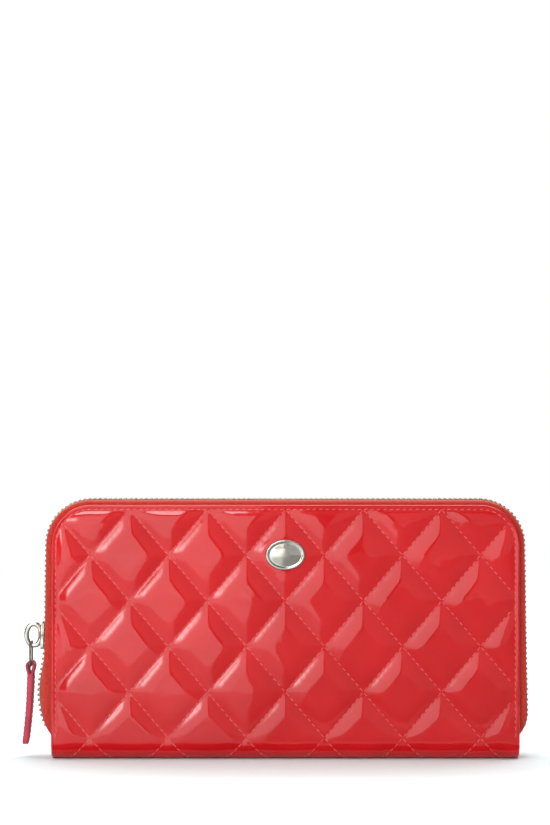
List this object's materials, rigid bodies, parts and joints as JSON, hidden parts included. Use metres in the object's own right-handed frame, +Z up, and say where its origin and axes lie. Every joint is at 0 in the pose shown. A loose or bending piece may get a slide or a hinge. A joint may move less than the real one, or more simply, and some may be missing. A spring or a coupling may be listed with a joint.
{
  "type": "zip around wallet",
  "caption": "Long quilted patent leather wallet that stands on its spine, zipped round three sides, with card slots, two note compartments and a zipped coin pocket.",
  "frame": {"origin": "centre of the flat underside of the spine, on the surface the wallet stands on", "axes": "+X along the spine, +Y from the front cover with the emblem to the back cover, +Z up"},
  "size_m": [0.2068, 0.0264, 0.1057],
  "materials": {
    "patent_leather": "gloss",
    "lining_leather": "satin",
    "pull_leather": "satin",
    "zip_tape": "matte",
    "zip_metal": "satin",
    "silver_metal": "polished",
    "foam": "matte",
    "board": "matte"
  },
  "bodies": {
    "spine_unit": {"spine_leather": "patent_leather", "spine_foam": "foam", "spine_board": "board", "spine_lining": "lining_leather", "front_fold_leather": "patent_leather", "back_fold_leather": "patent_leather", "front_fold_lining": "lining_leather", "back_fold_lining": "lining_leather", "gusset_front_left": "lining_leather", "gusset_front_right": "lining_leather", "gusset_back_left": "lining_leather", "gusset_back_right": "lining_leather", "coin_pocket_front_wall": "lining_leather", "coin_pocket_back_wall": "lining_leather", "coin_pocket_left_seam": "lining_leather", "coin_pocket_right_seam": "lining_leather", "coin_pocket_floor": "lining_leather", "coin_zip_tape_front": "zip_tape", "coin_zip_tape_back": "zip_tape", "coin_zip_teeth": "zip_metal"},
    "front_leaf": {"front_cover_leather": "patent_leather", "front_foam_pad": "foam", "front_cover_board": "board", "front_lining": "lining_leather", "front_card_ply_1": "lining_leather", "front_card_ply_2": "lining_leather", "front_card_ply_3": "lining_leather", "front_card_ply_4": "lining_leather", "front_zip_tape": "zip_tape", "front_zip_teeth": "zip_metal", "front_zip_stops": "zip_metal", "emblem_plaque": "silver_metal", "emblem_washer": "silver_metal"},
    "back_leaf": {"back_cover_leather": "patent_leather", "back_foam_pad": "foam", "back_cover_board": "board", "back_lining": "lining_leather", "back_card_ply_1": "lining_leather", "back_card_ply_2": "lining_leather", "back_card_ply_3": "lining_leather", "back_card_ply_4": "lining_leather", "back_zip_tape": "zip_tape", "back_zip_teeth": "zip_metal", "back_zip_stops": "zip_metal"},
    "slider": {"slider_body": "silver_metal", "slider_crown": "silver_metal"},
    "ring": {"pull_ring": "silver_metal"},
    "pull": {"pull_tab": "pull_leather"},
    "coin_slider": {"coin_slider_body": "silver_metal", "coin_slider_crown": "silver_metal"},
    "coin_puller": {"coin_pull": "silver_metal"}
  },
  "joints": [
    {"name": "front_cover_hinge", "type": "hinge", "parent": "spine_unit", "child": "front_leaf", "pos_m": [0, -0.006, 0.0065], "axis": [1, 0, 0], "range_deg": [0, 22], "deforming": ["front_fold_leather", "front_fold_lining", "gusset_front_left", "gusset_front_right", "front_zip_tape", "front_zip_teeth"]},
    {"name": "back_cover_hinge", "type": "hinge", "parent": "spine_unit", "child": "back_leaf", "pos_m": [0, 0.006, 0.0065], "axis": [-1, 0, 0], "range_deg": [0, 22], "deforming": ["back_fold_leather", "back_fold_lining", "gusset_back_left", "gusset_back_right", "back_zip_tape", "back_zip_teeth"]},
    {"name": "zip_slide", "type": "slide", "parent": "back_leaf", "child": "slider", "axis": [0.0175, 0, 0.9998], "range_m": [-0.004, 0.028]},
    {"name": "ring_swing", "type": "hinge", "parent": "slider", "child": "ring", "pos_m": [-0.1041, 0, 0.0467], "axis": [0, 1, 0], "range_deg": [-4, 120]},
    {"name": "pull_swing", "type": "hinge", "parent": "ring", "child": "pull", "pos_m": [-0.1041, 0, 0.0372], "axis": [0, 1, 0], "range_deg": [-4, 60]},
    {"name": "coin_zip_slide", "type": "slide", "parent": "spine_unit", "child": "coin_slider", "axis": [1, 0, 0], "range_m": [0, 0.13], "deforming": ["coin_zip_teeth"]},
    {"name": "coin_pull_swing", "type": "hinge", "parent": "coin_slider", "child": "coin_puller", "pos_m": [-0.068, 0, 0.087], "axis": [0, -1, 0], "range_deg": [0, 170]}
  ]
}
